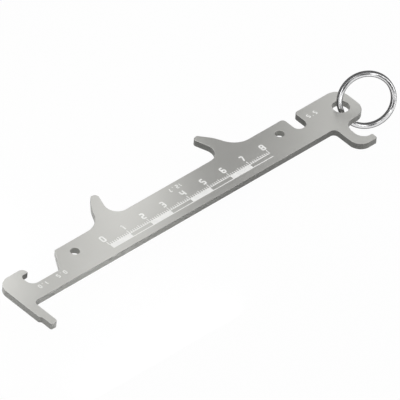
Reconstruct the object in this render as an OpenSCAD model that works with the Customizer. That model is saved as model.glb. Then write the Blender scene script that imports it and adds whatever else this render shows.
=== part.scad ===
// Chain wear gauge: a flat steel plate with measuring hook and tab, and a split ring through its end.
// The plate lies flat with its underside at z = 0. The origin is midway between the two small holes,
// +X runs towards the ring and +Y towards the prongs. All sizes are in millimetres.

/* [Measured chain] */
// Pitch of the chain's links
chain_pitch = 12.7; // [10:0.1:16]
// Number of links between the hook and the tab
chain_links = 13; // [11:1:16]
// Diameter of the chain's rollers
roller_d = 7.75; // [7:0.05:8.5]
// Wear, in percent, at which the narrow end of the tab drops into the chain
wear_first = 0.5; // [0.3:0.05:0.7]
// Wear, in percent, at which the whole tab drops into the chain
wear_second = 1; // [0.8:0.05:1.3]

/* [Plate] */
// Thickness of the plate
plate_t = 2.7; // [2:0.1:3.5]
// Width between the two long edges
plate_w = 15.9; // [14.5:0.1:20]
// Depth of the line of small holes below the upper edge
hole_line = 5.1; // [4:0.1:7]
// Radius of the three large corners at the ends
end_r = 5.6; // [2:0.1:6]

/* [Small holes] */
// Diameter of the two small holes
small_hole_d = 3.5; // [2.5:0.1:4.5]
// From the opener's shoulder to the centre of the near hole
hole_from_shoulder = 5.4; // [4:0.1:8]
// From the valve slot to the centre of the near hole
hole_from_slot = 6.5; // [4:0.1:9]

/* [Bottle opener] */
// Width of the post beside the mouth
post_w = 9.5; // [7:0.1:12]
// How far the lip reaches over the mouth
lip_reach = 3.8; // [2:0.1:5]
// Thickness of the lip
lip_t = 2.9; // [2:0.1:3.5]
// Depth of the mouth below the upper edge
mouth_depth = 8.9; // [7:0.1:10]
// Length of the mouth's floor
mouth_l = 13.8; // [12:0.1:18]
// Run of the mouth's sloping side
mouth_slope = 5.7; // [3:0.1:8]
// Radius at the top of the lip's end
lip_top_r = 2.3; // [0.5:0.1:2.6]
// Radius at the bottom of the lip's end
lip_low_r = 0.5; // [0.2:0.1:1.2]
// Radius in the upper corner of the mouth
mouth_top_r = 1.5; // [0.5:0.1:2]
// Radius in the lower corner of the mouth
mouth_low_r = 3.1; // [1:0.1:4]
// Radius at the foot of the sloping side
slope_r = 0.75; // [0.3:0.05:2]
// Radius of the shoulder above the sloping side
shoulder_r = 0.45; // [0.2:0.05:2]

/* [Prongs] */
// Distance between the middles of the two tips
prong_span = 50.3; // [44:0.1:56]
// Height of the tips above the upper edge
prong_h = 13.3; // [10:0.1:16]
// Width of a tip
prong_tip_w = 2.8; // [2:0.1:4]
// How much lower the inner corner of a tip lies than its outer corner
prong_tip_drop = 0.6; // [0:0.1:1.5]
// How far a tip overhangs the root on its inner side
prong_lean = 4.5; // [2:0.1:6]
// Width of the root
prong_root_w = 6.8; // [5:0.1:9]
// Height of the bend in the outer side above the upper edge
prong_back_h = 8.5; // [6:0.1:9.5]
// How far the bend lies inside the outer corner of the root
prong_back_in = 4.4; // [3:0.1:5]
// Radius of the throat on the inner side
throat_r = 5; // [3:0.1:6]
// Radius of a tip's inner corner
tip_in_r = 1.5; // [0.5:0.1:1.8]
// Radius of a tip's outer corner
tip_out_r = 1; // [0.3:0.1:1.2]
// Radius of the bend in the outer side
back_r = 14; // [5:0.5:20]
// Radius between the outer side and the upper edge
root_r = 8.9; // [4:0.1:12]

/* [Valve slot] */
// Width of the slot
slot_w = 5.5; // [5:0.1:7]
// Depth of the slot below the upper edge
slot_depth = 8.1; // [6:0.1:10]
// From the slot to the leg of the measuring hook
slot_from_leg = 5.7; // [4:0.1:8]
// Radius of the slot's two upper corners
slot_mouth_r = 1.5; // [0.3:0.1:2]
// Radius of the slot's two lower corners
slot_floor_r = 2.6; // [1:0.1:2.7]

/* [Measuring hook] */
// Width of the leg
leg_w = 4.3; // [3.5:0.1:6]
// Reach of the hook below the lower edge
hook_depth = 13.3; // [11.5:0.1:16]
// Thickness of the foot
foot_t = 2.9; // [1.8:0.1:3.5]
// How far the foot reaches past the leg
foot_reach = 4.9; // [4:0.1:7]
// Radius in the upper corner of the notch
notch_top_r = 4.7; // [1:0.1:5]
// Radius in the lower corner of the notch
notch_low_r = 4; // [1:0.1:4.4]
// Radius at the heel of the hook
heel_r = 5.1; // [2:0.1:6]
// Radius between the leg and the lower edge
crotch_r = 1.9; // [0.5:0.1:4]
// Radius at the top of the toe
toe_top_r = 0.5; // [0.2:0.1:1]
// Radius at the bottom of the toe
toe_low_r = 0.9; // [0.2:0.1:1.2]

/* [Measuring tab] */
// Reach of the tab below the lower edge
tab_depth = 13.1; // [11:0.1:16]
// Width of the tab's narrow end
tab_tip_w = 3.3; // [2.5:0.1:4]
// Length of the tab's narrow end
tab_tip_l = 5.1; // [3:0.1:8]
// Length of the slant between the narrow end and the wide part
tab_slant = 0.9; // [0.3:0.1:2]
// Radius between the tab and the lower edge
tab_root_r = 1.5; // [0.5:0.1:4]
// Radius at the inner corner of the tab's end
tab_in_r = 1.5; // [0.3:0.1:1.6]
// Radius at the outer corner of the tab's end
tab_out_r = 0.8; // [0.3:0.1:1.5]
// Radius at the two corners of the slant
tab_step_r = 0.3; // [0.1:0.05:0.5]

/* [Ring end] */
// Length of the plate past the notch of the measuring hook
lobe_l = 12.5; // [10.5:0.1:15]
// Diameter of the ring hole
ring_hole_d = 6.5; // [6:0.1:8]
// From the end of the plate to the centre of the ring hole
ring_hole_from_end = 6.5; // [5.2:0.1:8]
// Depth of the ring hole's centre below the upper edge
ring_hole_depth = 8.3; // [6:0.1:9.5]

/* [Split ring] */
// Outside diameter of the ring
ring_od = 22.5; // [20:0.5:26]
// Width of the wire, measured along the ring's radius
wire_w = 2; // [1.4:0.1:2.2]
// Thickness of the wire, measured along the ring's axis
wire_t = 0.68; // [0.5:0.02:0.8]
// Gap between the two turns
turn_gap = 0.44; // [0.42:0.02:0.6]
// Chamfer on the four edges of the wire
wire_chamfer = 0.18; // [0.05:0.01:0.2]
// Angle over which the wire climbs from one turn to the next
climb_deg = 36; // [24:2:60]
// Angle kept free between a wire end and the climb
end_clear_deg = 4; // [3:0.5:10]
// Place of the climb round the ring, from the side away from the plate
climb_at = -135; // [-180:5:180]
// Angle between the ring and the plate
ring_tilt = 69; // [55:1:90]
// Direction from the ring hole to the middle of the ring
ring_turn = -31; // [-45:1:30]
// Height of the ring's middle above the middle of the plate, measured in the ring's plane
ring_rise = 3.4; // [2:0.1:4.5]
// Clearance between the ring and the wall of its hole
ring_clear = 0.3; // [0.2:0.05:0.6]

/* [Hidden] */

// Angle of one straight piece of a rounded corner
arc_step = 7.5;
// How far the cutters for the holes stand proud of the plate
cut_over = 1;
// Sides of a round cutter
hole_fn = 96;
// Rings of points in one turn of the wire
turn_rings = 48;

// The two measured lengths, from the notch of the hook to the outer side of the tab
chain_percent = chain_links * chain_pitch / 100;
gauge_first = chain_percent * (100 + wear_first) - roller_d;
gauge_second = chain_percent * (100 + wear_second) - roller_d;

// Places along the plate
hook_span = leg_w + slot_from_leg + slot_w + hole_from_slot;
opener_span = post_w + mouth_l + mouth_slope + hole_from_shoulder;
hole_spacing = gauge_second - hook_span - opener_span;
hole_x = hole_spacing / 2;
notch_x = hole_x + hook_span;
leg_x = notch_x - leg_w;
toe_x = notch_x + foot_reach;
right_x = notch_x + lobe_l;
slot_left = hole_x + hole_from_slot;
slot_right = slot_left + slot_w;
left_x = notch_x - gauge_second;
tip_x = notch_x - gauge_first;
tab_x = tip_x + tab_tip_w;
mouth_x = left_x + post_w;
lip_x = mouth_x + lip_reach;
slope_x = mouth_x + mouth_l;
shoulder_x = slope_x + mouth_slope;

// Places across the plate
top_y = hole_line;
low_y = top_y - plate_w;
lip_y = top_y - lip_t;
mouth_y = top_y - mouth_depth;
slot_y = top_y - slot_depth;
foot_y = low_y - hook_depth;
notch_y = foot_y + foot_t;
tab_y = low_y - tab_depth;
slant_y = tab_y + tab_tip_l;

// Places of one prong, on the side towards +X
tip_in_x = (prong_span - prong_tip_w) / 2;
tip_out_x = tip_in_x + prong_tip_w;
root_in_x = tip_in_x + prong_lean;
root_out_x = root_in_x + prong_root_w;
tip_y = top_y + prong_h;

// Corners of the outline as [x, y, radius], clockwise from the upper left
opener_corners = [
    [left_x, top_y, end_r],
    [lip_x, top_y, lip_top_r],
    [lip_x, lip_y, lip_low_r],
    [mouth_x, lip_y, mouth_top_r],
    [mouth_x, mouth_y, mouth_low_r],
    [slope_x, mouth_y, slope_r],
    [shoulder_x, top_y, shoulder_r]
];
prong_corners = [
    [root_in_x, top_y, throat_r],
    [tip_in_x, tip_y - prong_tip_drop, tip_in_r],
    [tip_out_x, tip_y, tip_out_r],
    [root_out_x - prong_back_in, top_y + prong_back_h, back_r],
    [root_out_x, top_y, root_r]
];
slot_corners = [
    [slot_left, top_y, slot_mouth_r],
    [slot_left, slot_y, slot_floor_r],
    [slot_right, slot_y, slot_floor_r],
    [slot_right, top_y, slot_mouth_r]
];
hook_corners = [
    [right_x, top_y, end_r],
    [right_x, low_y, end_r],
    [notch_x, low_y, notch_top_r],
    [notch_x, notch_y, notch_low_r],
    [toe_x, notch_y, toe_top_r],
    [toe_x, foot_y, toe_low_r],
    [leg_x, foot_y, heel_r],
    [leg_x, low_y, crotch_r]
];
tab_corners = [
    [tab_x, low_y, tab_root_r],
    [tab_x, tab_y, tab_in_r],
    [tip_x, tab_y, tab_out_r],
    [tip_x, slant_y, tab_step_r],
    [left_x, slant_y + tab_slant, tab_step_r]
];
plate_corners = concat(opener_corners, mirrored(prong_corners), prong_corners,
                       slot_corners, hook_corners, tab_corners);

// Middle of the ring hole
ring_hole_x = right_x - ring_hole_from_end;
ring_hole_y = top_y - ring_hole_depth;

// The ring in its own plane: local X points away from the hole, local Y upwards
ring_r = (ring_od - wire_w) / 2;
turn_rise = wire_t + turn_gap;
half_stack = wire_t + turn_gap / 2;
ring_reach = sqrt(ring_r * ring_r - ring_rise * ring_rise);
// Depth, in the ring's plane, at which the front of the wire leaves the underside of the plate
under_rise = ring_rise + (plate_t / 2 + half_stack * cos(ring_tilt)) / sin(ring_tilt);
// How far the inner side of the wire has curved away from the middle of the hole at that depth
inner_r = ring_r - wire_w / 2;
wire_side = ring_reach - sqrt(inner_r * inner_r - under_rise * under_rise);
// How far the ring's plane lies from the hole's axis, with the clearance left to the wall
hole_side = sqrt(ring_hole_d * ring_hole_d / 4 - wire_side * wire_side);
ring_seat = hole_side - half_stack / sin(ring_tilt) - plate_t / 2 / tan(ring_tilt) - ring_clear;

// The wire starts and ends just past the climb, so the two turns lie side by side all round
wire_start = climb_deg / 2 + end_clear_deg;
wire_end = 720 - wire_start;
ring_step = 360 / turn_rings;
first_step = ceil(wire_start / ring_step) + 0.5;
last_step = wire_end / ring_step - 0.5;
wire_angles = concat([wire_start], [for (k = [first_step : last_step]) k * ring_step], [wire_end]);

// Mirrors a run of corners in the YZ plane and keeps it clockwise
function mirrored(corners) = [for (i = [len(corners) - 1 : -1 : 0])
    [-corners[i].x, corners[i].y, corners[i][2]]];

function point(corner) = [corner.x, corner.y];
function unit(v) = v / norm(v);
function turned(v, a) = [v.x * cos(a) - v.y * sin(a), v.x * sin(a) + v.y * cos(a)];
// Corner number i, counted round and round the outline
function neighbour(corners, i) = corners[(i + len(corners)) % len(corners)];

// Unit vectors from a corner to the corner before it and to the corner after it
function to_last(corners, i) = unit(point(neighbour(corners, i - 1)) - point(neighbour(corners, i)));
function to_next(corners, i) = unit(point(neighbour(corners, i + 1)) - point(neighbour(corners, i)));

// Half of the angle at a corner, and the length of its arc's tangents
function half_angle(corners, i) = acos(to_last(corners, i) * to_next(corners, i)) / 2;
function tangent(corners, i) = neighbour(corners, i)[2] / tan(half_angle(corners, i));

// Share of its two radii that the side after a corner has room for
function side_share(corners, i) = min(1,
    norm(point(neighbour(corners, i + 1)) - point(neighbour(corners, i)))
    / (tangent(corners, i) + tangent(corners, i + 1)));

// Points of the arc that rounds one corner
function corner_arc(corners, i) =
    let (
        here = neighbour(corners, i),
        last = to_last(corners, i),
        next = to_next(corners, i),
        half = half_angle(corners, i),
        r = here[2] * min(side_share(corners, i - 1), side_share(corners, i)),
        middle = point(here) + unit(last + next) * r / sin(half),
        turn = 180 - 2 * half,
        side = sign(last.x * next.y - last.y * next.x),
        from = point(here) + last * r / tan(half) - middle,
        steps = ceil(turn / arc_step)
    )
    [for (k = [0 : steps]) middle + turned(from, side * -turn * k / steps)];

// The whole outline with every corner rounded
function rounded(corners) = [for (i = [0 : len(corners) - 1]) each corner_arc(corners, i)];

// Height of the wire above the middle of the ring, rising smoothly over the climb
function wire_height(a) =
    let (t = min(1, max(0, (a - 360 + climb_deg / 2) / climb_deg)))
    turn_rise * (t * t * (3 - 2 * t) - 0.5);

// Section of the wire as [outwards, upwards], a rectangle with chamfered edges
wire_section = let (x = wire_w / 2, y = wire_t / 2, c = wire_chamfer)
    [[x, c - y], [x, y - c], [x - c, y], [c - x, y], [-x, y - c], [-x, c - y], [c - x, -y], [x - c, -y]];
section_n = len(wire_section);

// One ring of points round the wire, at an angle along it
function wire_ring(a) = [for (p = wire_section)
    [(ring_r + p.x) * cos(a + climb_at), (ring_r + p.x) * sin(a + climb_at), wire_height(a) + p.y]];

wire_points = [for (a = wire_angles) each wire_ring(a)];
wire_n = len(wire_angles);

// Two triangles for each side of the wire between two neighbouring rings of points
wire_sides = [for (i = [0 : wire_n - 2]) for (k = [0 : section_n - 1])
    let (m = (k + 1) % section_n, a = i * section_n, b = a + section_n)
    each [[a + k, b + m, b + k], [a + k, a + m, b + m]]];
// A fan of triangles closes each end
wire_caps = [for (k = [1 : section_n - 2])
    let (b = (wire_n - 1) * section_n)
    each [[0, k + 1, k], [b, b + k, b + k + 1]]];

// Least gap of the wire to itself, between points that lie about one turn apart
wire_gap = min([for (i = [0 : wire_n - 1]) for (j = [i + 1 : wire_n - 1])
    if (abs(wire_angles[j] - wire_angles[i] - 360) < 2 * ring_step)
    for (k = [0 : section_n - 1]) for (m = [0 : section_n - 1])
    norm(wire_points[i * section_n + k] - wire_points[j * section_n + m])]);
echo(least_gap_of_the_wire_to_itself = wire_gap);

module hole(x, y, d) {
    translate([x, y, -cut_over])
        cylinder(d = d, h = plate_t + 2 * cut_over, $fn = hole_fn);
}

module gauge_plate() {
    color([0.74, 0.74, 0.72])
        difference() {
            linear_extrude(plate_t)
                polygon(rounded(plate_corners));
            for (side = [-1, 1])
                hole(side * hole_x, 0, small_hole_d);
            hole(ring_hole_x, ring_hole_y, ring_hole_d);
        }
}

module split_ring() {
    color([0.86, 0.87, 0.89])
        translate([ring_hole_x, ring_hole_y, plate_t / 2])
            rotate([0, 0, ring_turn])
                translate([0, -ring_seat, 0])
                    rotate([ring_tilt, 0, 0])
                        translate([ring_reach, ring_rise, 0])
                            polyhedron(points = wire_points, faces = concat(wire_sides, wire_caps));
}

gauge_plate();
split_ring();
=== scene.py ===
"""Chain wear gauge: a satin steel plate with a printed scale, and a bright split ring through its end.

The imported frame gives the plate's outline, its holes and the ring's place. Every surface is worked out
from them with numpy, in metres, in the frame's own axes: +X towards the ring, +Y towards the prongs and
+Z up, with the underside of the plate at height 0.
"""

import logging
import math
from dataclasses import dataclass, field
from enum import Enum

import bpy
import numpy as np
from mathutils import Matrix, Vector
from mathutils.geometry import delaunay_2d_cdt


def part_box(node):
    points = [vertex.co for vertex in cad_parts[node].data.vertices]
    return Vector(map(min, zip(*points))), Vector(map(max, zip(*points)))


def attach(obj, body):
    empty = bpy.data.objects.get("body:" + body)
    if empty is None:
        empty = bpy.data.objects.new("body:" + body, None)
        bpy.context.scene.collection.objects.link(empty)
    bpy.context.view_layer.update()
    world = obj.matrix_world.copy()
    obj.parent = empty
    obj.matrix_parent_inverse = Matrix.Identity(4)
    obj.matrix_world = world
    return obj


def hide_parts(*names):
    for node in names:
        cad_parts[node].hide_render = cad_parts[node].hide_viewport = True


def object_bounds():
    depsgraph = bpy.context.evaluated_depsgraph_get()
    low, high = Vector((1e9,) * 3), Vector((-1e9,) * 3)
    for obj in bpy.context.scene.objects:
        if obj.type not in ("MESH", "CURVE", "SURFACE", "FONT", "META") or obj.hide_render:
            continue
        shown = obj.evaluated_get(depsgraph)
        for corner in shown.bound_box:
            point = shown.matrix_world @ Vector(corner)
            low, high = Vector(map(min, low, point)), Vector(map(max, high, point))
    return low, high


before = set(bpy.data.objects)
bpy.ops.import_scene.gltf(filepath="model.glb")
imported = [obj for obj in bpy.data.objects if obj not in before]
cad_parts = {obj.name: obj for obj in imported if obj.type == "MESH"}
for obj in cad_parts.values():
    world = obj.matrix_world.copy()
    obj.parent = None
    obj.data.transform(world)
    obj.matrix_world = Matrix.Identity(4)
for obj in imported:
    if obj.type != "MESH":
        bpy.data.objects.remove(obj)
CAD_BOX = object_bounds()

MM = 0.001
LOG = logging.getLogger("chain_wear_gauge")

Colour = tuple[float, float, float]
Place = tuple[float, float, float]
Flat = tuple[float, float]
Span = tuple[float, float]
Path = list[Flat]
Socket = bpy.types.NodeSocket


class Body(Enum):
    """The bodies of the frame that pieces ride on."""

    PLATE = "plate"
    RING = "ring"


class Slot(Enum):
    """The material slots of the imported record."""

    PLATE_STEEL = "plate_steel"
    RING_PLATING = "ring_plating"


class Wall(Enum):
    """Which finish a strip of the plate's surface takes."""

    FACE = 0
    CUT = 1
    BORE = 2


class NodeSheet:
    """The node tree of one material or of the world, with short ways to add and join nodes."""

    usual_noise: Span = (0.3, 0.7)

    def __init__(self, tree: bpy.types.NodeTree) -> None:
        """Starts from an empty tree."""
        self.tree = tree
        self.tree.nodes.clear()

    def fill(self, socket: Socket, value: object) -> None:
        """Gives an input its value, or joins it to another node.

        Args:
            socket: the input.
            value: a number, a colour, a vector, or the output of another node.
        """
        if isinstance(value, Socket):
            self.tree.links.new(value, socket)
        else:
            socket.default_value = value

    def add(self, kind: str, options: dict | None = None, **sockets: object) -> bpy.types.Node:
        """Adds a node and fills its sockets.

        Args:
            kind: Blender's type name of the node, without its Shader prefix.
            options: properties of the node itself.
            sockets: what fills each input by name; a space in a name is written _.

        Returns:
            The new node.
        """
        node = self.tree.nodes.new("ShaderNode" + kind)
        for name, value in (options or {}).items():
            setattr(node, name, value)
        for name, value in sockets.items():
            self.fill(node.inputs[name.replace("_", " ")], value)
        return node

    def arithmetic(self, operation: str, *values: object) -> Socket:
        """Works out one step of arithmetic.

        Args:
            operation: Blender's name of the step, such as ADD.
            values: what it works on, in order, each a number or the output of another node.

        Returns:
            The result.
        """
        node = self.add("Math", {"operation": operation})
        for socket, value in zip(node.inputs, values):
            self.fill(socket, value)
        return node.outputs[0]

    def noise(self, where: Socket, size: float, detail: float = 2.0) -> Socket:
        """Grey clouds from 0 to 1, each about as wide as a size in the units of their coordinates."""
        return self.add("TexNoise", Vector=where, Scale=1 / size, Detail=detail).outputs["Fac"]

    def stretched(self, where: Socket, scale: Place, start: Place = (0.0, 0.0, 0.0)) -> Socket:
        """Coordinates multiplied axis by axis, and then moved by a start."""
        return self.add("Mapping", Vector=where, Scale=scale, Location=start).outputs["Vector"]

    def carried(self, value: Socket, source: Span, target: Span) -> Socket:
        """A value carried from its source range onto a target range, and held at the ends."""
        ends = {"From_Min": source[0], "From_Max": source[1], "To_Min": target[0], "To_Max": target[1]}
        return self.add("MapRange", Value=value, **ends).outputs["Result"]

    def spread(self, noise: Socket, target: Span) -> Socket:
        """Noise carried from its usual range onto another."""
        return self.carried(noise, self.usual_noise, target)

    def tinted(self, colour: Colour, shade: Socket) -> Socket:
        """A colour made lighter or darker by a factor."""
        scaled = self.add("VectorMath", {"operation": "SCALE"}, Vector=colour, Scale=shade)
        return scaled.outputs["Vector"]

    def bump(self, height: Socket, depth: float, show: float) -> Socket:
        """Normals that tilt with a height from 0 to 1, of a real depth, as far as a share of it shows."""
        return self.add("Bump", Height=height, Distance=depth, Strength=show).outputs["Normal"]

    def principled(self, **sockets: object) -> None:
        """Ends a material with the principled shader."""
        self.add("OutputMaterial", Surface=self.add("BsdfPrincipled", **sockets).outputs[0])


def new_material(name: str) -> tuple[bpy.types.Material, NodeSheet]:
    """Makes an empty material with nodes.

    Args:
        name: the material's name.

    Returns:
        The material, and the sheet to fill it with.
    """
    material = bpy.data.materials.new(name)
    material.use_nodes = True
    return material, NodeSheet(material.node_tree)


@dataclass(frozen=True)
class SatinSteel:
    """Blasted stainless steel: a pale, slightly warm metal with a fine even grain and faint hairlines."""

    colour: Colour = (0.600, 0.597, 0.572)
    cloud: float = 22 * MM
    cloud_tone: Span = (0.975, 1.025)
    grain: float = 0.16 * MM
    grain_depth: float = 0.008 * MM
    grain_show: float = 0.25
    grain_gloss: Span = (-0.03, 0.03)
    hairline: Place = (18.0, 1400.0, 1.0)
    roughness: Span = (0.34, 0.38)

    def material(self) -> bpy.types.Material:
        """Grain tilts the normals, slow clouds shift the tone, and stretched noise streaks the gloss.

        Returns:
            The material.
        """
        material, sheet = new_material("satin_steel")
        where = sheet.add("TexCoord").outputs["Object"]
        grain = sheet.noise(where, self.grain, detail=3.0)
        clouds = sheet.noise(where, self.cloud, detail=3.0)
        hairlines = sheet.noise(sheet.stretched(where, self.hairline), 1.0)
        gloss = sheet.arithmetic(
            "ADD", sheet.spread(grain, self.grain_gloss), sheet.spread(hairlines, self.roughness))
        sheet.principled(
            Metallic=1.0, Roughness=gloss,
            Base_Color=sheet.tinted(self.colour, sheet.spread(clouds, self.cloud_tone)),
            Normal=sheet.bump(grain, self.grain_depth, self.grain_show))
        return material


@dataclass(frozen=True)
class CutSteel:
    """The plate's cut wall: duller than the face, fine marks across its thickness, darkened by painted
    shade.
    """

    name: str = "shaded_cut_steel"
    # Painted shade: this dark grey stands for the shade that falls on the plate's upright walls.
    colour: Colour = (0.176, 0.176, 0.167)
    metallic: float = 0.04
    ior: float = 1.18
    cloud: float = 3 * MM
    cloud_tone: Span = (0.95, 1.05)
    roughness: Span = (0.26, 0.34)
    mark: Place = (9000.0, 350.0, 1.0)
    mark_tone: Span = (0.9, 1.1)
    mark_depth: float = 0.02 * MM
    mark_show: float = 0.3

    def material(self) -> bpy.types.Material:
        """Noise on the wall's own map, long across the thickness, tilts the normals and shifts the tone.

        Returns:
            The material.
        """
        material, sheet = new_material(self.name)
        run = sheet.add("UVMap", {"uv_map": "run"}).outputs["UV"]
        marks = sheet.noise(sheet.stretched(run, self.mark), 1.0)
        clouds = sheet.noise(run, self.cloud, detail=3.0)
        shade = sheet.arithmetic(
            "MULTIPLY", sheet.spread(marks, self.mark_tone), sheet.spread(clouds, self.cloud_tone))
        sheet.principled(
            Metallic=self.metallic, IOR=self.ior, Roughness=sheet.spread(clouds, self.roughness),
            Base_Color=sheet.tinted(self.colour, shade),
            Normal=sheet.bump(marks, self.mark_depth, self.mark_show))
        return material


@dataclass(frozen=True)
class BrightPlating:
    """Polished plating of the ring: clear mirrors on the wire's flats, duller sides with painted shade.

    The wire's map runs round its section from the middle of one side, so the distance from the nearer side
    goes up and down twice in one girth. The sides' share of the girth is where they turn into the flats.
    """

    girth: float
    colour: Colour = (0.74, 0.74, 0.745)
    roughness: float = 0.12
    # Share of the colour left at the wire's sides: painted shade.
    side_shade: float = 0.2
    side_roughness: float = 0.5
    side_share: Span = (0.10, 0.15)
    cloud: float = 1.5 * MM
    cloud_gloss: Span = (-0.02, 0.03)
    line: Place = (90.0, 9000.0, 1.0)
    line_share: float = 0.0003
    wave: Place = (100.0, 45.0, 1.0)
    wave_start: Place = (3.1, 0.0, 0.0)
    wave_depth: float = 1.1 * MM

    def material(self) -> bpy.types.Material:
        """Slow waves and fine lines along the wire's own map tilt the normals, and clouds dull the gloss.

        Returns:
            The material.
        """
        material, sheet = new_material("bright_plating")
        run = sheet.add("UVMap", {"uv_map": "run"}).outputs["UV"]
        lines = sheet.noise(sheet.stretched(run, self.line), 1.0)
        waves = sheet.noise(sheet.stretched(run, self.wave, self.wave_start), 1.0, detail=0.0)
        clouds = sheet.noise(run, self.cloud, detail=3.0)
        around = sheet.add("SeparateXYZ", Vector=run).outputs["Y"]
        from_side = sheet.arithmetic("PINGPONG", around, self.girth / 4)
        turning = (self.side_share[0] * self.girth, self.side_share[1] * self.girth)
        # Painted shade: the base colour darkens towards the wire's sides, so their rims stay dark.
        shade = sheet.carried(from_side, turning, (self.side_shade, 1.0))
        dullness = sheet.carried(from_side, turning, (self.side_roughness, self.roughness))
        height = sheet.arithmetic("MULTIPLY_ADD", lines, self.line_share, waves)
        sheet.principled(
            Metallic=1.0,
            Roughness=sheet.arithmetic("ADD", dullness, sheet.spread(clouds, self.cloud_gloss)),
            Base_Color=sheet.tinted(self.colour, shade),
            Normal=sheet.bump(height, self.wave_depth, 1.0))
        return material


@dataclass(frozen=True)
class PrintInk:
    """White screen-printed ink: matt, slightly grainy, a little thin in places."""

    colour: Colour = (0.92, 0.92, 0.90)
    cloud: float = 2.5 * MM
    cloud_tone: Span = (0.94, 1.04)
    grain: float = 0.12 * MM
    grain_depth: float = 0.005 * MM
    grain_show: float = 0.3
    roughness: Span = (0.49, 0.61)

    def material(self) -> bpy.types.Material:
        """Clouds thin the ink's tone, and a fine grain tilts its normals.

        Returns:
            The material.
        """
        material, sheet = new_material("print_ink")
        where = sheet.add("TexCoord").outputs["Object"]
        grain = sheet.noise(where, self.grain)
        clouds = sheet.noise(where, self.cloud, detail=4.0)
        sheet.principled(
            Roughness=sheet.spread(grain, self.roughness),
            Base_Color=sheet.tinted(self.colour, sheet.spread(clouds, self.cloud_tone)),
            Normal=sheet.bump(grain, self.grain_depth, self.grain_show))
        return material


@dataclass
class Surface:
    """A mesh as whole arrays, before it becomes an object."""

    points: np.ndarray
    faces: list[list[int]]
    normals: np.ndarray | None = None
    run: np.ndarray | None = None
    walls: np.ndarray | None = None

    def as_piece(self, name: str, materials: list[bpy.types.Material]) -> bpy.types.Object:
        """Puts the arrays into a mesh and links its object at the origin.

        Args:
            name: the piece's name.
            materials: its materials, in the order that walls counts them.

        Returns:
            The object.
        """
        mesh = bpy.data.meshes.new(name)
        mesh.from_pydata(self.points.tolist(), [], self.faces, shade_flat=False)
        if self.run is not None:
            mesh.uv_layers.new(name="run").uv.foreach_set("vector", self.run.astype(np.float32).ravel())
        if self.walls is not None:
            mesh.polygons.foreach_set("material_index", self.walls.astype(np.int32))
        if self.normals is not None:
            mesh.normals_split_custom_set_from_vertices(self.normals.tolist())
        for material in materials:
            mesh.materials.append(material)
        mesh.update()
        piece = bpy.data.objects.new(name, mesh)
        bpy.context.scene.collection.objects.link(piece)
        return piece


def joined(surfaces: list[Surface]) -> Surface:
    """Makes one surface from several, each counted on from the points before it.

    Args:
        surfaces: surfaces whose faces all have four corners.

    Returns:
        Their points and faces in a row.
    """
    starts = np.cumsum([0] + [len(surface.points) for surface in surfaces])
    faces = [(start + np.array(surface.faces)).tolist() for start, surface in zip(starts, surfaces)]
    return Surface(np.concatenate([surface.points for surface in surfaces]), sum(faces, []))


def unit(vectors: np.ndarray) -> np.ndarray:
    """The vectors at length 1."""
    return vectors / np.linalg.norm(vectors, axis=-1, keepdims=True)


def right_of(directions: np.ndarray) -> np.ndarray:
    """Flat directions turned a quarter turn to the right."""
    return np.stack([directions[:, 1], -directions[:, 0]], axis=1)


def grid_faces(rows: int, columns: int, round_rows: bool = False) -> np.ndarray:
    """Quads of a grid of points that is numbered row by row, with each row closed on itself.

    Args:
        rows: number of rows of points.
        columns: points in one row.
        round_rows: whether the last row joins the first.

    Returns:
        Four point numbers for each quad, row by row.
    """
    row = np.arange(rows if round_rows else rows - 1)[:, None]
    column = np.arange(columns)[None, :]
    below, above = row * columns, (row + 1) % rows * columns
    after = (column + 1) % columns
    quads = np.stack([below + column, below + after, above + after, above + column], axis=-1)
    return quads.reshape(-1, 4)


def merged_mesh(node: bpy.types.Object, merge: float = 0.001 * MM) -> tuple[np.ndarray, np.ndarray]:
    """The points of a node with doubles merged, and its triangles.

    Args:
        node: a node of the frame, whose mesh is loose triangles.
        merge: points closer than this become one.

    Returns:
        The points, and three point numbers for each triangle.
    """
    mesh = node.data
    mesh.calc_loop_triangles()
    places = np.empty(3 * len(mesh.vertices))
    corners = np.empty(3 * len(mesh.loop_triangles), dtype=np.int32)
    mesh.vertices.foreach_get("co", places)
    mesh.loop_triangles.foreach_get("vertices", corners)
    places = places.reshape(-1, 3)
    cells = np.round(places / merge)
    _, first, number = np.unique(cells, axis=0, return_index=True, return_inverse=True)
    return places[first], number.ravel()[corners].reshape(-1, 3)


def border_loops(points: np.ndarray, triangles: np.ndarray) -> list[np.ndarray]:
    """Closed loops round a flat face.

    A side that two triangles share runs both ways, so the sides without a partner are the border. Each
    border point links to the next. Doubling the jumps along the links gives every point the lowest number
    on its loop, and then its count of steps to the end of that loop.

    Args:
        points: the points of the mesh.
        triangles: the triangles of the face alone.

    Returns:
        The points of each loop in order, with the face on the left.
    """
    count = len(points)
    sides = np.concatenate([triangles[:, [0, 1]], triangles[:, [1, 2]], triangles[:, [2, 0]]])
    border = sides[~np.isin(sides @ [count, 1], sides @ [1, count])]
    numbers = np.arange(count)
    follow = numbers.copy()
    follow[border[:, 0]] = border[:, 1]
    doublings = range(math.ceil(math.log2(count)))

    label, jump = numbers, follow
    for _ in doublings:
        label, jump = np.minimum(label, label[jump]), jump[jump]
    at_end = follow == label
    steps, jump = np.where(at_end, 0, 1), np.where(at_end, numbers, follow)
    for _ in doublings:
        steps, jump = steps + steps[jump], jump[jump]

    members = [border[label[border[:, 0]] == first, 0] for first in np.unique(label[border[:, 0]])]
    return [points[loop[np.argsort(-steps[loop])]] for loop in members]


def directions_along(loop: np.ndarray) -> np.ndarray:
    """Directions at the points of a closed loop, the mean of both sides weighted by their lengths."""
    return unit(np.roll(loop, -1, axis=0) - np.roll(loop, 1, axis=0))


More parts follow.
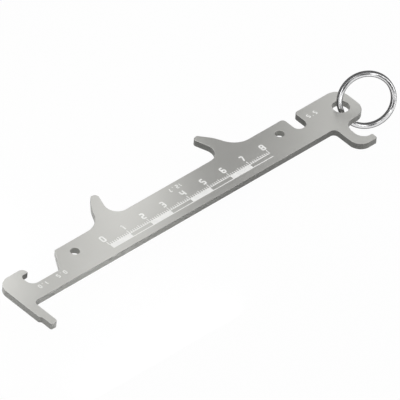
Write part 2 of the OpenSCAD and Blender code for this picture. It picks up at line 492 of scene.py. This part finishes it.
def refined(loop: np.ndarray) -> np.ndarray:
    """Adds a point to each side of a closed loop.

    The new point lies halfway along the cubic curve that leaves and reaches the ends of its side in the
    loop's own directions, so straight sides stay straight and chords become arcs.

    Args:
        loop: points of the loop.

    Returns:
        The loop with twice as many points.
    """
    after = np.roll(loop, -1, axis=0)
    along = directions_along(loop)
    length = np.linalg.norm(after - loop, axis=1, keepdims=True)
    middle = (loop + after) / 2 + (along - np.roll(along, -1, axis=0)) * length / 8
    return np.stack([loop, middle], axis=1).reshape(-1, loop.shape[1])


@dataclass
class GaugePlate:
    """The flat plate with its hook, tab, prongs, opener, slot and three holes."""

    node: bpy.types.Object
    edge_r: float = 0.2 * MM
    edge_steps: int = 5
    face_from_deg: float = 60.0
    face_finish: SatinSteel = field(default_factory=SatinSteel)
    # The wall and bore greys are painted shade, the bores' lighter than the walls'; their marks and dullness
    # are their own.
    cut_finish: CutSteel = field(default_factory=CutSteel)
    bore_finish: CutSteel = CutSteel(name="shaded_bored_steel", colour=(0.38, 0.38, 0.36))

    def outlines(self) -> tuple[list[np.ndarray], float]:
        """Reads the plate's loops from the frame.

        Returns:
            The loops round the upper face, refined, as flat points, and the height of that face.
        """
        points, triangles = merged_mesh(self.node)
        top = points[:, 2].max()
        upper = triangles[(points[triangles, 2] > top - self.edge_r).all(axis=1)]
        return [refined(loop[:, :2]) for loop in border_loops(points, upper)], top

    def profile(self, top: float) -> tuple[np.ndarray, np.ndarray, np.ndarray]:
        """The section of the wall, from the underside to the upper face.

        A quarter circle turns from facing down to facing out, the wall stands straight, and a second
        quarter circle turns from facing out to facing up.

        Args:
            top: height of the upper face.

        Returns:
            How far each point lies inside the outline, its height, and the angle at which it faces.
        """
        turn = np.linspace(0, math.pi / 2, self.edge_steps + 1)
        facing = np.concatenate([turn - math.pi / 2, turn])
        middle = np.where(np.arange(len(facing)) <= self.edge_steps, self.edge_r, top - self.edge_r)
        return self.edge_r * (1 - np.cos(facing)), middle + self.edge_r * np.sin(facing), facing

    def wall(self, loop: np.ndarray, top: float, finish: Wall) -> Surface:
        """Carries the section along one closed loop.

        Each point moves into the plate along the mitre between its two sides, by the section's inset over
        the cosine of half the turn there.

        Args:
            loop: flat points of the loop, with the plate on the left.
            top: height of the upper face.
            finish: what the wall takes; the part of its edges that faces nearly up or down takes the face's.

        Returns:
            The wall with its rounded edges.
        """
        inset, height, facing = self.profile(top)
        side = np.roll(loop, -1, axis=0) - loop
        along = directions_along(loop)
        outward = right_of(along)
        mitre = outward / np.sum(outward * right_of(unit(side)), axis=1, keepdims=True)
        flat = loop[None] - mitre[None] * inset[:, None, None]
        rows, columns = flat.shape[:2]
        points = np.concatenate([flat, np.broadcast_to(height[:, None, None], (rows, columns, 1))], axis=2)
        lean = np.broadcast_to(np.sin(facing)[:, None, None], (rows, columns, 1))
        normals = np.concatenate([outward[None] * np.cos(facing)[:, None, None], lean], axis=2)

        length = np.linalg.norm(side, axis=1)
        end = np.cumsum(length)
        around = np.stack([end - length, end, end, end - length], axis=1)
        low, high = height[:-1, None, None], height[1:, None, None]
        upright = np.concatenate([low, low, high, high], axis=2)
        shape = (rows - 1, columns, 4)
        run = np.stack([np.broadcast_to(around[None], shape), np.broadcast_to(upright, shape)], axis=-1)
        upright_enough = np.abs(facing[:-1] + facing[1:]) / 2 < math.radians(self.face_from_deg)
        strips = np.where(upright_enough, finish.value, Wall.FACE.value)[:, None].repeat(columns, axis=1)
        return Surface(points.reshape(-1, 3), grid_faces(rows, columns).tolist(),
                       normals.reshape(-1, 3), run.reshape(-1, 2), strips.ravel())

    def cap(self, borders: list[np.ndarray]) -> np.ndarray:
        """Triangles between an outer loop and the loops of its holes.

        Args:
            borders: flat points of each loop.

        Returns:
            Three numbers for each triangle, counted through all the loops, facing up.
        """
        sizes = [len(border) for border in borders]
        starts = np.cumsum([0] + sizes[:-1])
        rims = [list(range(start, start + size)) for start, size in zip(starts, sizes)]
        points = [Vector(point) for point in (np.concatenate(borders) / MM).tolist()]
        inside_with_holes = 2
        same_point = 1e-6
        made = delaunay_2d_cdt(points, [], rims, inside_with_holes, same_point)
        source = np.array([origins[0] for origins in made[3]])
        return source[np.array(made[2])]

    def build(self) -> bpy.types.Object:
        """Joins the walls of all the loops with an upper and a lower cap.

        Returns:
            The piece, riding on the plate's body in place of its node.
        """
        loops, top = self.outlines()
        counts = [len(loop) for loop in loops]
        kinds = [Wall.CUT if count == max(counts) else Wall.BORE for count in counts]
        walls = [self.wall(loop, top, kind) for loop, kind in zip(loops, kinds)]
        around = joined(walls)
        rows = 2 * (self.edge_steps + 1)
        starts = np.cumsum([0] + counts[:-1]) * rows
        lower = np.concatenate([start + np.arange(count) for start, count in zip(starts, counts)])
        upper = lower + np.repeat(counts, counts) * (rows - 1)
        triangles = self.cap(np.split(around.points[upper, :2], np.cumsum(counts)[:-1]))
        caps = np.concatenate([upper[triangles], lower[triangles[:, ::-1]]])

        surface = Surface(
            around.points, around.faces + caps.tolist(),
            np.concatenate([wall.normals for wall in walls]),
            np.concatenate([wall.run for wall in walls] + [around.points[caps.ravel(), :2]]),
            np.concatenate([wall.walls for wall in walls] + [np.full(len(caps), Wall.FACE.value)]))
        finishes = (self.face_finish, self.cut_finish, self.bore_finish)
        piece = surface.as_piece("satin_plate", [finish.material() for finish in finishes])
        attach(piece, Body.PLATE.value)
        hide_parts(self.node.name)
        return piece


@dataclass
class SplitRing:
    """The ring of flat wire, wound in two turns that lie on each other."""

    node: bpy.types.Object
    tilt_deg: float = 69.0
    turn_deg: float = -31.0
    outside_d: float = 22.5 * MM
    wire_w: float = 2.0 * MM
    stack: float = 1.8 * MM
    turn_gap: float = 0.2 * MM
    squareness: float = 2.8
    climb_deg: float = 36.0
    climb_at_deg: float = -135.0
    end_clear_deg: float = 4.0
    end_r: float = 0.12 * MM
    end_rows: int = 5
    steps_per_turn: int = 180
    section_steps: int = 40

    @property
    def middle_r(self) -> float:
        """Radius of the wire's middle."""
        return (self.outside_d - self.wire_w) / 2

    def axes(self) -> np.ndarray:
        """The ring's own axes as the columns of a turn, first about X by its tilt and then about Z."""
        turn = Matrix.Rotation(math.radians(self.turn_deg), 3, "Z")
        return np.array(turn @ Matrix.Rotation(math.radians(self.tilt_deg), 3, "X"))

    def centre(self) -> np.ndarray:
        """Finds the middle of the node's box, measured along the ring's own axes.

        Returns:
            The middle, in the frame's axes.
        """
        points, _ = merged_mesh(self.node)
        own = points @ self.axes()
        return self.axes() @ (own.min(axis=0) + own.max(axis=0)) / 2

    def section(self) -> np.ndarray:
        """Outline of the wire, an oval with square shoulders.

        The half-width's share and the half-height's share of each point, raised to the same power, add up
        to 1.

        Returns:
            Points as outward and upward distances from the wire's middle, clockwise.
        """
        angle = np.arange(self.section_steps) / self.section_steps * 2 * math.pi
        round_point = np.stack([np.cos(angle), -np.sin(angle)], axis=1)
        square_point = np.sign(round_point) * np.abs(round_point) ** (2 / self.squareness)
        return square_point * [self.wire_w / 2, (self.stack - self.turn_gap) / 4]

    def rise(self, angle: np.ndarray) -> np.ndarray:
        """Height of the wire's middle, which climbs by one turn along a smooth step halfway along it."""
        share = np.clip((angle - 360 + self.climb_deg / 2) / self.climb_deg, 0, 1)
        return (self.stack + self.turn_gap) / 2 * (share * share * (3 - 2 * share) - 0.5)

    def stations(self) -> tuple[np.ndarray, np.ndarray]:
        """Places along the wire at which its section stands.

        Over the last bit at each end the section draws in along a quarter circle.

        Returns:
            The angle of each place in degrees, and the share of the section's size there.
        """
        start = self.climb_deg / 2 + self.end_clear_deg
        stop = 720 - start
        turn = np.linspace(math.pi / 2, 0, self.end_rows)
        lead = math.degrees(self.end_r / self.middle_r) * (1 - np.sin(turn))
        draw = 1 - 2 * self.end_r / self.wire_w * (1 - np.cos(turn))
        length = np.linspace(start + lead[-1], stop - lead[-1], 2 * self.steps_per_turn)
        angle = np.concatenate([start + lead[:-1], length, stop - lead[-2::-1]])
        return angle, np.concatenate([draw[:-1], np.ones(len(length)), draw[-2::-1]])

    def run_map(self, angle: np.ndarray, girth: np.ndarray) -> np.ndarray:
        """Maps the wire by its lengths, along its middle and round its section.

        Args:
            angle: angle of each place along the wire, in degrees.
            girth: length round the section up to each of its points, and all the way round.

        Returns:
            Both lengths for each corner of the sides, row by row, and then of the two ends.
        """
        along = np.radians(angle) * self.middle_r
        sides = np.stack(np.broadcast_arrays(
            np.stack([along[:-1], along[:-1], along[1:], along[1:]], axis=1)[:, None],
            np.stack([girth[:-1], girth[1:], girth[1:], girth[:-1]], axis=1)[None]), axis=-1)
        rims = np.stack(np.broadcast_arrays(along[[0, -1], None], girth[None, :-1]), axis=-1)
        return np.concatenate([sides.reshape(-1, 2), rims.reshape(-1, 2)])

    def build(self) -> bpy.types.Object:
        """Carries the wire's section round two turns and closes its ends with flat faces.

        A point's radius is the middle's plus its outward distance, and its height is the wire's rise plus
        its upward distance. The ring's axes then turn it, and its centre moves it.

        Returns:
            The piece, riding on the ring's body in place of its node.
        """
        angle, share = self.stations()
        outline = self.section()
        section = outline[None] * share[:, None, None]
        place = np.radians(angle + self.climb_at_deg)[:, None]
        radius = self.middle_r + section[:, :, 0]
        height = self.rise(angle)[:, None] + section[:, :, 1]
        own = np.stack([radius * np.cos(place), radius * np.sin(place), height], axis=2)
        rows, columns = own.shape[:2]
        points = own.reshape(-1, 3) @ self.axes().T + self.centre()
        ends = [list(range(columns))[::-1], list(range((rows - 1) * columns, rows * columns))]

        steps = np.linalg.norm(np.roll(outline, -1, axis=0) - outline, axis=1)
        girth = np.concatenate([[0], np.cumsum(steps)])
        surface = Surface(points, grid_faces(rows, columns).tolist() + ends, run=self.run_map(angle, girth))
        piece = surface.as_piece("plated_ring", [BrightPlating(float(girth[-1])).material()])
        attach(piece, Body.RING.value)
        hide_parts(self.node.name)
        return piece


def eased(path: np.ndarray, ease: float, closed: bool, steps: int = 7) -> np.ndarray:
    """A path with its corners rounded.

    Each corner becomes a quadratic curve: the corner itself, plus the step back weighted by the square of
    what is left of the curve, plus the step on weighted by the square of what is done.

    Args:
        path: flat points of the path.
        ease: how far before and after its corner a curve runs.
        closed: whether the path ends where it starts; an open path keeps its two ends.
        steps: points on each curve.

    Returns:
        The points of the rounded path.
    """
    done = np.linspace(0, 1, steps)[None, :, None]
    back = unit(np.roll(path, 1, axis=0) - path)[:, None]
    on = unit(np.roll(path, -1, axis=0) - path)[:, None]
    curves = path[:, None] + ease * (back * (1 - done) ** 2 + on * done ** 2)
    if closed:
        return curves.reshape(-1, 2)
    return np.concatenate([path[:1], curves[1:-1].reshape(-1, 2), path[-1:]])


class Figure(Enum):
    """Strokes of the figures, as points on a cell one unit wide and two units high.

    A stroke that ends on another stops at its side, 0.24 of a unit from its middle.
    """

    ZERO = ("0", [[(0, 0), (1, 0), (1, 2), (0, 2)]])
    ONE = ("1", [[(0.3, 1.5), (0.75, 2), (0.75, 0)]])
    TWO = ("2", [[(0, 2), (1, 2), (1, 1), (0, 1), (0, 0), (1, 0)]])
    THREE = ("3", [[(0, 2), (1, 2), (1, 0), (0, 0)], [(0.2, 1), (0.76, 1)]])
    FOUR = ("4", [[(0, 2), (0, 0.8), (0.76, 0.8)], [(1, 2), (1, 0)]])
    FIVE = ("5", [[(1, 2), (0, 2), (0, 1), (1, 1), (1, 0), (0, 0)]])
    SIX = ("6", [[(1, 2), (0, 2), (0, 0), (1, 0), (1, 1), (0.24, 1)]])
    SEVEN = ("7", [[(0, 2), (1, 2), (0.4, 0)]])
    EIGHT = ("8", [[(0, 0), (1, 0), (1, 2), (0, 2)], [(0.24, 1), (0.76, 1)]])
    POINT = (".", [[(0.3, 0), (0.7, 0)]])

    def __init__(self, sign: str, strokes: list[Path]) -> None:
        """Keeps the sign and its strokes."""
        self.sign = sign
        self.strokes = strokes

    @property
    def closed(self) -> bool:
        """Whether the figure's first stroke ends where it starts."""
        return self in (Figure.ZERO, Figure.EIGHT)


@dataclass
class PrintedMarks:
    """Marks of white ink on the upper face: a centimetre scale and a few plain numbers.

    A figure's stroke, the width of its cell, the gap to the next and the ease of its corners are shares: the
    first two of the figure's height, and the last two of the stroke.
    """

    face_z: float
    film: float = 0.025 * MM
    sunk: float = 0.02 * MM
    scale_start: Flat = (-39 * MM, -7.7 * MM)
    centimetres: int = 8
    block_h: float = 2.3 * MM
    line_w: float = 0.34 * MM
    tick_h: Place = (1.8 * MM, 1.3 * MM, 0.9 * MM)
    figure_gap: float = 0.4 * MM
    figure_h: float = 3.2 * MM
    small_h: float = 2.0 * MM
    stroke_share: float = 0.2
    cell_share: float = 0.42
    gap_share: float = 2.1
    ease_share: float = 0.8
    pitch_at: Flat = (1 * MM, 2.4 * MM)
    worn_at: Flat = (-72.5 * MM, -6.1 * MM)
    half_worn_at: Flat = (-63.5 * MM, -6.1 * MM)
    slot_at: Flat = (67.9 * MM, 0.4 * MM)
    ink: PrintInk = field(default_factory=PrintInk)

    def bar(self, path: np.ndarray, width: float, closed: bool = False) -> Surface:
        """Carries a flat rectangle of ink along a path, mitred at the corners.

        Args:
            path: flat points of the path.
            width: width of the stroke.
            closed: whether the path ends where it starts.

        Returns:
            A closed film that stands on the face.
        """
        after, before = np.roll(path, -1, axis=0), np.roll(path, 1, axis=0)
        ahead, behind = unit(after - path), unit(path - before)
        if not closed:
            ahead[-1], behind[0] = behind[-1], ahead[0]
        right = right_of(unit(ahead + behind))
        mitre = right / np.sum(right * right_of(ahead), axis=1, keepdims=True) * width / 2
        sides = np.stack([path - mitre, path + mitre, path + mitre, path - mitre], axis=1)
        top, bottom = self.face_z + self.film, self.face_z - self.sunk
        height = np.broadcast_to(np.array([top, top, bottom, bottom])[None, :, None], (len(path), 4, 1))
        faces = grid_faces(len(path), 4, round_rows=closed).tolist()
        if not closed:
            faces += [[3, 2, 1, 0], list(range(4 * len(path) - 4, 4 * len(path)))]
        return Surface(np.concatenate([sides, height], axis=2).reshape(-1, 3), faces)

    def blocks(self, low: np.ndarray, high: np.ndarray) -> list[Surface]:
        """Upright rectangles of ink, each a bar from the middle of its foot to the middle of its head.

        Args:
            low: lower left corner of each rectangle.
            high: upper right corner of each rectangle.

        Returns:
            The rectangles.
        """
        middle = (low[:, 0] + high[:, 0]) / 2
        feet, heads = np.stack([middle, low[:, 1]], axis=1), np.stack([middle, high[:, 1]], axis=1)
        paths = np.stack([feet, heads], axis=1)
        return [self.bar(path, width) for path, width in zip(paths, high[:, 0] - low[:, 0])]

    def number(self, signs: str, middle: Flat, height: float, turned: bool = False) -> list[Surface]:
        """Writes a number.

        Args:
            signs: its figures.
            middle: where the middle of the number lies.
            height: height of a figure over its strokes.
            turned: whether the number is turned half round, to be read from the prongs' side.

        Returns:
            The strokes of ink.
        """
        figures = {figure.sign: figure for figure in Figure}
        stroke = height * self.stroke_share
        cell = np.array([height * self.cell_share, (height - stroke) / 2])
        pitch = cell[0] + self.gap_share * stroke
        start = np.array([-(len(signs) - 1) * pitch / 2 - cell[0] / 2, -cell[1]])
        facing = -1 if turned else 1
        strokes = []
        for place, sign in enumerate(signs):
            figure = figures[sign]
            for points in figure.strokes:
                path = start + [place * pitch, 0] + np.array(points) * cell
                closed = figure.closed and len(points) > 2
                path = eased(path, stroke * self.ease_share, closed) if len(points) > 2 else path
                strokes.append(self.bar(np.array(middle) + facing * path, stroke, closed))
        return strokes

    def scale(self) -> list[Surface]:
        """A ruler: alternating blocks, millimetre ticks of three lengths, and a number at each centimetre.

        Returns:
            The parts of the ruler.
        """
        left, low = self.scale_start
        foot = low + self.block_h
        step = 10 * MM
        first = left + np.arange(0, self.centimetres, 2) * step
        filled = self.blocks(np.stack([first, np.full_like(first, low)], axis=1),
                             np.stack([first + step, np.full_like(first, foot)], axis=1))
        second = left + np.arange(1, self.centimetres, 2) * step
        lines = []
        for y in (low + self.line_w / 2, foot - self.line_w / 2):
            lines += [self.bar(np.array([[x, y], [x + step, y]]), self.line_w) for x in second]
        count = np.arange(10 * self.centimetres + 1)
        long, middling, short = self.tick_h
        tick = np.where(count % 10 == 0, long, np.where(count % 5 == 0, middling, short))
        x = left + count * MM
        ticks = self.blocks(np.stack([x - self.line_w / 2, np.full_like(x, foot)], axis=1),
                            np.stack([x + self.line_w / 2, foot + tick], axis=1))
        numbers = []
        for centimetre in range(self.centimetres + 1):
            middle = (left + centimetre * step, foot + long + self.figure_gap + self.figure_h / 2)
            numbers += self.number(str(centimetre), middle, self.figure_h)
        return filled + lines + ticks + numbers

    def build(self) -> list[bpy.types.Object]:
        """Makes the scale and the small numbers.

        Returns:
            The pieces, riding on the plate's body.
        """
        ink = self.ink.material()
        prints = {
            "scale_print": self.scale(),
            "pitch_print": self.number("12.7", self.pitch_at, self.small_h, turned=True),
            "wear_print": (self.number("1.0", self.worn_at, self.small_h, turned=True)
                           + self.number("0.5", self.half_worn_at, self.small_h, turned=True)),
            "slot_print": self.number("5.5", self.slot_at, self.small_h),
        }
        pieces = []
        for name, surfaces in prints.items():
            piece = joined(surfaces).as_piece(name, [ink])
            piece.data.shade_flat()
            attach(piece, Body.PLATE.value)
            pieces.append(piece)
        return pieces


@dataclass(frozen=True)
class Softbox:
    """A soft rectangular studio lamp, hung in a direction from the point that it lights."""

    name: str
    aim: Place
    azimuth_deg: float
    elevation_deg: float
    distance: float
    width: float
    height: float
    glow: float

    def build(self) -> bpy.types.Object:
        """Makes the lamp.

        Its place is its aim plus its distance along its direction, with the azimuth counted from +X towards
        +Y. Its power is pi times its area times its glow, so that a glow of 1 is white.

        Returns:
            The lamp.
        """
        light = bpy.data.lights.new(self.name, "AREA")
        light.shape = "RECTANGLE"
        light.size, light.size_y = self.width, self.height
        light.energy = self.glow * math.pi * self.width * self.height
        turn, lift = math.radians(self.azimuth_deg), math.radians(self.elevation_deg)
        towards = Vector((math.cos(lift) * math.cos(turn), math.cos(lift) * math.sin(turn), math.sin(lift)))
        lamp = bpy.data.objects.new(self.name, light)
        lamp.location = Vector(self.aim) + self.distance * towards
        lamp.rotation_mode = "QUATERNION"
        lamp.rotation_quaternion = (-towards).to_track_quat("-Z", "Y")
        lamp.visible_camera = False
        bpy.context.scene.collection.objects.link(lamp)
        return lamp


@dataclass
class Studio:
    """The plain white floor, the soft light round it and the camera at the photograph's angle."""

    floor_z: float
    floor_half: float = 6.0
    floor_colour: Colour = (0.7, 0.7, 0.7)
    floor_white: float = 0.97
    azimuth_deg: float = -46.72
    elevation_deg: float = 41.81
    roll_deg: float = 5.42
    aim: Place = (3.42 * MM, -8.24 * MM, 2.7 * MM)
    view_w: float = 146.08 * MM
    lens: float = 1500.0
    sensor: float = 36.0
    clip: Span = (0.1, 20.0)
    horizon_grey: float = 0.6
    room_grey: float = 0.05
    horizon_h: float = 0.03
    top_glow: float = 0.98
    panel_glows: tuple[float, ...] = (1.0, 0.7, 1.0, 1.2)

    def axes(self) -> np.ndarray:
        """Works out the camera's directions from its azimuth, elevation and roll.

        Returns:
            Its right, up and back directions as rows.
        """
        turn, lift, roll = np.radians([self.azimuth_deg, self.elevation_deg, self.roll_deg])
        back = np.array([math.sin(turn) * math.cos(lift), -math.cos(turn) * math.cos(lift), math.sin(lift)])
        level = np.array([math.cos(turn), math.sin(turn), 0])
        upright = np.cross(back, level)
        return np.array([level * math.cos(roll) + upright * math.sin(roll),
                         upright * math.cos(roll) - level * math.sin(roll), back])

    def camera(self) -> None:
        """Sets a very long lens at the distance where its view is as wide as the photograph's."""
        lens = bpy.data.cameras.new("photo_camera")
        lens.lens, lens.sensor_width = self.lens, self.sensor
        lens.clip_start, lens.clip_end = self.clip
        camera = bpy.data.objects.new("photo_camera", lens)
        axes = self.axes()
        place = np.array(self.aim) + axes[2] * self.view_w * self.lens / self.sensor
        turn = Matrix(axes.T.tolist()).to_4x4()
        camera.matrix_world = Matrix.Translation(place.tolist()) @ turn
        bpy.context.scene.collection.objects.link(camera)
        bpy.context.scene.camera = camera

    def floor(self) -> None:
        """Lays a flat floor that shows as white to the camera and in reflections, with a faint shadow."""
        corners = np.array([[-1, -1], [1, -1], [1, 1], [-1, 1]]) * self.floor_half
        points = np.concatenate([corners, np.full((4, 1), self.floor_z)], axis=1)
        material, sheet = new_material("white_floor")
        ray = sheet.add("LightPath").outputs
        seen = sheet.arithmetic("MAXIMUM", ray["Is Camera Ray"], ray["Is Glossy Ray"])
        shown = sheet.arithmetic("MAXIMUM", seen, ray["Is Transmission Ray"])
        paint = sheet.add("BsdfDiffuse", Color=(*self.floor_colour, 1.0))
        white = sheet.add("Emission", Color=(1.0, 1.0, 1.0, 1.0), Strength=1.0)
        mix = sheet.add("MixShader", Fac=sheet.arithmetic("MULTIPLY", shown, self.floor_white))
        for socket, shader in zip(mix.inputs[1:], (paint, white)):
            sheet.fill(socket, shader.outputs[0])
        sheet.add("OutputMaterial", Surface=mix.outputs[0])
        Surface(points, [[0, 1, 2, 3]]).as_piece("floor", [material])

    def world(self) -> None:
        """Makes a dark grey room with a pale band at its horizon."""
        world = bpy.data.worlds.new("grey_room")
        world.use_nodes = True
        sheet = NodeSheet(world.node_tree)
        up = sheet.add("SeparateXYZ", Vector=sheet.add("TexCoord").outputs["Generated"]).outputs["Z"]
        ramp = sheet.add("ValToRGB", Fac=up)
        greys = ((0.0, self.horizon_grey), (self.horizon_h, self.room_grey))
        for element, (height, grey) in zip(ramp.color_ramp.elements, greys):
            element.position = height
            element.color = (grey, grey, grey, 1.0)
        light = sheet.add("Background", Color=ramp.outputs["Color"], Strength=1.0)
        sheet.add("OutputWorld", Surface=light.outputs[0])
        bpy.context.scene.world = world

    def panels(self) -> list[Softbox]:
        """The large lamps: one overhead, and the rest all round, but not where the face mirrors the camera.

        Returns:
            The lamps.
        """
        middle = (0.0, 0.0, 0.0)
        away, wide, high, lift = 1.0, 1.0, 0.8, 38
        top_w = 0.9
        apart = 360 / (len(self.panel_glows) + 1)
        boxes = [Softbox("top_box", middle, 0, 90, away, top_w, top_w, self.top_glow)]
        for number, glow in enumerate(self.panel_glows, start=1):
            turn = self.azimuth_deg + 90 + apart * number
            boxes.append(Softbox(f"panel_{number}", middle, turn, lift, away, wide, high, glow))
        return boxes

    def mirrors(self) -> list[Softbox]:
        """The narrow lamps that the camera sees in the face, each as name, place along it, width and glow.

        Returns:
            The lamps.
        """
        away, high = 0.13, 0.13
        y, z = -3 * MM, 2.7 * MM
        rows = (("left", -111, 0.038, 1.42), ("bright", -34, 0.038, 1.2), ("middle", 20, 0.03, 0.27),
                ("right", 70, 0.03, 0.8), ("end", 118, 0.03, 1.18))
        return [Softbox(f"{name}_mirror", (x * MM, y, z), self.azimuth_deg + 90,
                        self.elevation_deg, away, width, high, glow)
                for name, x, width, glow in rows]

    def strips(self) -> list[Softbox]:
        """The low lamps that light the walls, each as name, place, direction, distance, width and glow.

        Returns:
            The lamps.
        """
        z, high = -2 * MM, 0.007
        rows = (("left_front", -72, -11, -90, 0.045, 0.04, 16), ("front", -42, -11, -90, 0.045, 0.04, 24),
                ("corner", 76, -24, -45, 0.05, 0.03, 19), ("back", -38, 8, 145, 0.045, 0.05, 20),
                ("end", -86, -6, 180, 0.045, 0.04, 20))
        return [Softbox(f"{name}_strip", (x * MM, y * MM, z), turn, 0, away, width, high, glow)
                for name, x, y, turn, away, width, glow in rows]

    def glints(self) -> list[Softbox]:
        """The small lamps that sparkle in the ring, each as direction, lift, distance and width.

        Returns:
            The lamps.
        """
        ring = (88 * MM, -8 * MM, 5 * MM)
        glow = 2.8
        rows = ((-125, 7, 0.3, 0.055), (-96, 8, 0.3, 0.055),
                (-103, -5, 0.06, 0.004), (-119, -6, 0.06, 0.004))
        return [Softbox(f"glint_{number}", ring, turn, lift, away, width, width, glow)
                for number, (turn, lift, away, width) in enumerate(rows)]

    def build(self) -> None:
        """Sets the camera, the floor and the light, with plain colours."""
        self.camera()
        self.floor()
        self.world()
        for box in self.panels() + self.mirrors() + self.strips() + self.glints():
            box.build()
        bpy.context.scene.view_settings.view_transform = "Standard"


def main() -> None:
    """Builds the studio and every piece, in order."""
    logging.basicConfig(level=logging.INFO, format="%(name)s: %(message)s")
    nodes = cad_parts
    Studio(floor_z=CAD_BOX[0].z).build()
    pieces = [GaugePlate(nodes["gauge_plate"]).build(), SplitRing(nodes["split_ring"]).build()]
    pieces += PrintedMarks(face_z=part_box("gauge_plate")[1].z).build()


if __name__ == "__main__":
    main()
